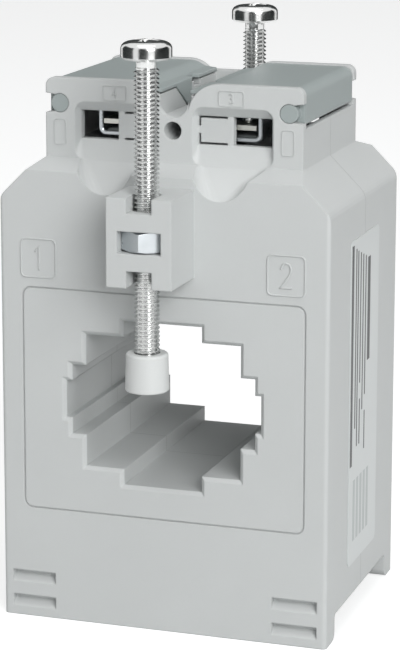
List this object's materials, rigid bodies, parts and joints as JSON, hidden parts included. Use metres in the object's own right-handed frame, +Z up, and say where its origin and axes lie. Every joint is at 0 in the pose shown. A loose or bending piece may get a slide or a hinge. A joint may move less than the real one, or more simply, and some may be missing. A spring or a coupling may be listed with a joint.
{
  "type": "current transformer",
  "caption": "Window-type current transformer: stepped opening for flat busbars, clamp screws on both faces, and towers with covered screw terminals.",
  "frame": {"origin": "middle of the base, on the plane that the foot lips stand on", "axes": "+X across the front, towards the labelled side; +Y from the front face to the back face, along the busbar; +Z up, along the clamp screws"},
  "size_m": [0.0555, 0.0642, 0.0977],
  "materials": {
    "housing_plastic": "fine satin moulding, light grey",
    "cover_plastic": "smooth satin moulding, mid grey",
    "foot_plastic": "smooth, pale grey",
    "label_film": "satin film, pale grey",
    "tape": "polyester tape",
    "core_steel": "wound silicon steel strip",
    "copper": "enamelled copper wire",
    "tinned_brass": "tin plated",
    "zinc_steel": "zinc plated",
    "screw_steel": "bright nickel plated"
  },
  "bodies": {
    "housing": {"front_shell": "housing_plastic", "back_shell": "housing_plastic", "core": "core_steel", "core_tape": "tape", "secondary_winding": "copper", "lead_s1": "copper", "lead_s2": "copper", "terminal_bar_s1": "tinned_brass", "terminal_bar_s2": "tinned_brass", "clamp_nut_front": "zinc_steel", "clamp_nut_back": "zinc_steel", "rating_label": "label_film"},
    "cover_s1": {"cover_s1": "cover_plastic"},
    "cover_s2": {"cover_s2": "cover_plastic"},
    "foot_front": {"pressure_foot_front": "foot_plastic"},
    "foot_back": {"pressure_foot_back": "foot_plastic"},
    "clamp_front": {"clamp_screw_front": "screw_steel"},
    "clamp_back": {"clamp_screw_back": "screw_steel"},
    "cage_s1_front": {"cage_s1_front": "zinc_steel"},
    "screw_s1_front": {"terminal_screw_s1_front": "screw_steel"},
    "cage_s1_back": {"cage_s1_back": "zinc_steel"},
    "screw_s1_back": {"terminal_screw_s1_back": "screw_steel"},
    "cage_s2_front": {"cage_s2_front": "zinc_steel"},
    "screw_s2_front": {"terminal_screw_s2_front": "screw_steel"},
    "cage_s2_back": {"cage_s2_back": "zinc_steel"},
    "screw_s2_back": {"terminal_screw_s2_back": "screw_steel"}
  },
  "joints": [
    {"name": "cover_s1_hinge", "type": "hinge", "parent": "housing", "child": "cover_s1", "pos_m": [0.01925, 0, 0.08525], "axis": [0, 1, 0], "range_deg": [0, 90]},
    {"name": "cover_s2_hinge", "type": "hinge", "parent": "housing", "child": "cover_s2", "pos_m": [-0.01925, 0, 0.08525], "axis": [0, -1, 0], "range_deg": [0, 90]},
    {"name": "foot_front_travel", "type": "slide", "parent": "housing", "child": "foot_front", "axis": [0, 0, 1], "range_m": [-0.0178, 0.0105]},
    {"name": "clamp_front_turn", "type": "hinge", "parent": "foot_front", "child": "clamp_front", "pos_m": [0, -0.02805, 0.07], "axis": [0, 0, 1], "range_deg": [-9158, 5402]},
    {"name": "foot_back_travel", "type": "slide", "parent": "housing", "child": "foot_back", "axis": [0, 0, 1], "range_m": [-0.0178, 0.0105]},
    {"name": "clamp_back_turn", "type": "hinge", "parent": "foot_back", "child": "clamp_back", "pos_m": [0, 0.02805, 0.07], "axis": [0, 0, 1], "range_deg": [-9158, 5402]},
    {"name": "cage_s1_front_travel", "type": "slide", "parent": "housing", "child": "cage_s1_front", "axis": [0, 0, 1], "range_m": [-0.0015, 0.0011]},
    {"name": "screw_s1_front_turn", "type": "hinge", "parent": "housing", "child": "screw_s1_front", "pos_m": [0.0106, -0.00935, 0.0845], "axis": [0, 0, 1], "range_deg": [-795, 1083]},
    {"name": "cage_s1_back_travel", "type": "slide", "parent": "housing", "child": "cage_s1_back", "axis": [0, 0, 1], "range_m": [-0.0015, 0.0011]},
    {"name": "screw_s1_back_turn", "type": "hinge", "parent": "housing", "child": "screw_s1_back", "pos_m": [0.0106, 0.00935, 0.0845], "axis": [0, 0, 1], "range_deg": [-795, 1083]},
    {"name": "cage_s2_front_travel", "type": "slide", "parent": "housing", "child": "cage_s2_front", "axis": [0, 0, 1], "range_m": [-0.0015, 0.0011]},
    {"name": "screw_s2_front_turn", "type": "hinge", "parent": "housing", "child": "screw_s2_front", "pos_m": [-0.0106, -0.00935, 0.0845], "axis": [0, 0, 1], "range_deg": [-795, 1083]},
    {"name": "cage_s2_back_travel", "type": "slide", "parent": "housing", "child": "cage_s2_back", "axis": [0, 0, 1], "range_m": [-0.0015, 0.0011]},
    {"name": "screw_s2_back_turn", "type": "hinge", "parent": "housing", "child": "screw_s2_back", "pos_m": [-0.0106, 0.00935, 0.0845], "axis": [0, 0, 1], "range_deg": [-795, 1083]}
  ],
  "couplings": [
    {"joint": "clamp_front_turn", "follows": "foot_front_travel", "rad_per_m": 8976},
    {"joint": "clamp_back_turn", "follows": "foot_back_travel", "rad_per_m": 8976},
    {"joint": "screw_s1_front_turn", "follows": "cage_s1_front_travel", "rad_per_m": -12566},
    {"joint": "screw_s1_back_turn", "follows": "cage_s1_back_travel", "rad_per_m": -12566},
    {"joint": "screw_s2_front_turn", "follows": "cage_s2_front_travel", "rad_per_m": -12566},
    {"joint": "screw_s2_back_turn", "follows": "cage_s2_back_travel", "rad_per_m": -12566}
  ]
}
